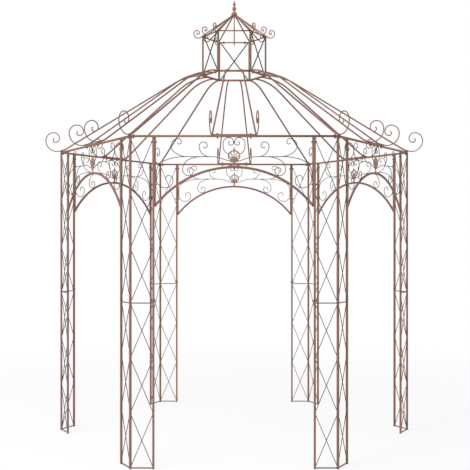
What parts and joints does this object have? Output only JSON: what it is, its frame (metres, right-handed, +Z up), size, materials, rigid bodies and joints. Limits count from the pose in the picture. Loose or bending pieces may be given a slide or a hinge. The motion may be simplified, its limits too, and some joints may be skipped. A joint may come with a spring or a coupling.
{
  "type": "iron garden gazebo",
  "caption": "Open hexagonal garden gazebo of painted iron tube, with lattice legs, scrolled arches, a ribbed roof and a small cupola under a finial.",
  "frame": {"origin": "on the ground at the centre of the hexagon", "axes": "+Z up, -Y out of the front arch, +X to the right of someone who looks at the front arch"},
  "size_m": [3.496, 3.0668, 3.969],
  "materials": {
    "tube_iron": "antique brown, satin",
    "rod_iron": "antique brown, satin",
    "cast_iron": "antique brown, rubbed"
  },
  "bodies": {
    "root": {"corner_post_front_left": "tube_iron", "corner_post_front_right": "tube_iron", "corner_post_right": "tube_iron", "corner_post_back_right": "tube_iron", "corner_post_back_left": "tube_iron", "corner_post_left": "tube_iron", "arch_frame_front": "tube_iron", "arch_frame_right_front": "tube_iron", "arch_frame_right_back": "tube_iron", "arch_frame_back": "tube_iron", "arch_frame_left_back": "tube_iron", "arch_frame_left_front": "tube_iron", "eave_rails": "tube_iron", "hip_rib_front_left": "tube_iron", "hip_rib_front_right": "tube_iron", "hip_rib_right": "tube_iron", "hip_rib_back_right": "tube_iron", "hip_rib_back_left": "tube_iron", "hip_rib_left": "tube_iron", "rib_pair_front": "tube_iron", "rib_pair_right_front": "tube_iron", "rib_pair_right_back": "tube_iron", "rib_pair_back": "tube_iron", "rib_pair_left_back": "tube_iron", "rib_pair_left_front": "tube_iron", "cupola_base_ring": "tube_iron", "cupola_posts": "tube_iron", "cupola_top_ring": "tube_iron", "cupola_hip_ribs": "tube_iron", "cupola_mid_ribs": "tube_iron", "leg_lattice_front_left": "rod_iron", "leg_lattice_front_right": "rod_iron", "leg_lattice_right": "rod_iron", "leg_lattice_back_right": "rod_iron", "leg_lattice_back_left": "rod_iron", "leg_lattice_left": "rod_iron", "scrollwork_front": "rod_iron", "scrollwork_right_front": "rod_iron", "scrollwork_right_back": "rod_iron", "scrollwork_back": "rod_iron", "scrollwork_left_back": "rod_iron", "scrollwork_left_front": "rod_iron", "cupola_braces": "rod_iron", "shell_ornaments": "cast_iron", "finial": "cast_iron"}
  },
  "joints": []
}
